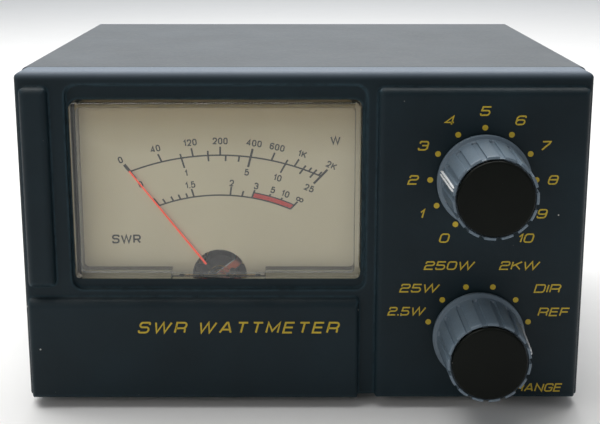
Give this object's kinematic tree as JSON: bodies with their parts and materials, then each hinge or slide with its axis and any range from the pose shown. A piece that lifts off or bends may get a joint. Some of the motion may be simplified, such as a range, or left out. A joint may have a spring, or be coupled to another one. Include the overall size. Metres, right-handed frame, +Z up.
{
  "type": "SWR meter",
  "caption": "Bench SWR and power meter: steel case, moulded front, needle meter, calibration and range knobs, coaxial sockets behind.",
  "frame": {"origin": "centre of the box on the surface it stands on", "axes": "+Z up, front faces -Y, +X to the right as seen from the front"},
  "size_m": [0.1586, 0.169, 0.095],
  "materials": {
    "bezel_plastic": "fine-grained dark blue-grey moulding",
    "cover_paint": "fine textured grey paint on sheet steel",
    "plated_steel": "zinc plated",
    "nickel_plate": "bright nickel",
    "foot_rubber": "matt black rubber",
    "clear_acrylic": "polished clear moulding",
    "black_plastic": "matt black",
    "dial_paint": "cream paint with printed scales",
    "pointer_red": "signal red paint",
    "brass_parts": "turned brass",
    "copper_wire": "enamelled copper",
    "soft_iron": "bare iron",
    "magnet": "dark sintered magnet",
    "bare_aluminium": "bare",
    "white_plastic": "natural white",
    "knob_grey": "blue-grey moulding, satin",
    "cap_black": "gloss black",
    "pointer_white": "white filled line",
    "phenolic": "brown laminate",
    "ptfe": "white PTFE",
    "silver_contact": "silver plated",
    "tinned_steel": "tinned",
    "board_green": "glass-fibre board",
    "component_body": "lacquered",
    "lead_red": "PVC insulation",
    "lead_blue": "PVC insulation"
  },
  "bodies": {
    "root": {"front_bezel": "bezel_plastic", "top_cover": "cover_paint", "chassis": "plated_steel", "case_screws": "nickel_plate", "inner_screws": "nickel_plate", "feet": "foot_rubber", "meter_window": "clear_acrylic", "meter_case": "black_plastic", "meter_strap": "plated_steel", "dial_plate": "dial_paint", "dial_screws": "brass_parts", "return_ring": "soft_iron", "magnet_core": "magnet", "bearing_bridges": "brass_parts", "jewel_screws": "nickel_plate", "movement_posts": "brass_parts", "terminal_studs": "brass_parts", "terminal_nuts": "brass_parts", "pot_bushing": "brass_parts", "pot_can": "plated_steel", "pot_track": "phenolic", "switch_frame": "plated_steel", "detent_spring": "plated_steel", "switch_wafer": "phenolic", "switch_contacts": "nickel_plate", "pot_nut": "nickel_plate", "switch_nut": "nickel_plate", "panel_washers": "nickel_plate", "transmitter_socket": "nickel_plate", "antenna_socket": "nickel_plate", "socket_insulators": "ptfe", "socket_contacts": "silver_contact", "socket_screws": "nickel_plate", "socket_nuts": "nickel_plate", "line_trough": "tinned_steel", "line_rod": "copper_wire", "coupler_board": "board_green", "main_board": "board_green", "board_parts": "component_body", "meter_leads": "lead_red", "hookup_leads": "lead_blue"},
    "cal_control": {"cal_knob": "knob_grey", "cal_knob_cap": "cap_black", "cal_knob_pointer": "pointer_white", "pot_shaft": "bare_aluminium", "pot_wiper": "white_plastic"},
    "range_control": {"range_knob": "knob_grey", "range_knob_cap": "cap_black", "range_knob_pointer": "pointer_white", "switch_shaft": "brass_parts", "detent_wheel": "brass_parts", "switch_rotor": "white_plastic"},
    "pointer": {"coil_former": "bare_aluminium", "coil_winding": "copper_wire", "pivot_staffs": "nickel_plate", "needle": "pointer_red", "needle_hub": "bare_aluminium", "hairsprings": "brass_parts"},
    "zero_screw": {"zero_screw": "white_plastic"},
    "zero_lever": {"zero_lever": "brass_parts"}
  },
  "joints": [
    {"name": "cal_turn", "type": "hinge", "parent": "root", "child": "cal_control", "pos_m": [0.0483, -0.0635, 0.0661], "axis": [0, 1, 0], "range_deg": [-72, 228]},
    {"name": "range_turn", "type": "hinge", "parent": "root", "child": "range_control", "pos_m": [0.0483, -0.0635, 0.022], "axis": [0, 1, 0], "range_deg": [-150, 0]},
    {"name": "needle_swing", "type": "hinge", "parent": "root", "child": "pointer", "pos_m": [-0.02365, -0.0539, 0.035], "axis": [0, 1, 0], "range_deg": [0, 81], "stiffness_Nm_per_rad": 0.00001},
    {"name": "zero_turn", "type": "hinge", "parent": "root", "child": "zero_screw", "pos_m": [-0.02365, -0.0275, 0.026], "axis": [0, 1, 0], "range_deg": [-30, 30]},
    {"name": "zero_lever_swing", "type": "hinge", "parent": "root", "child": "zero_lever", "pos_m": [-0.02365, -0.0539, 0.035], "axis": [0, 1, 0], "range_deg": [-4, 4]}
  ],
  "couplings": [
    {"joint": "zero_lever_swing", "follows": "zero_turn", "ratio": -0.125}
  ]
}
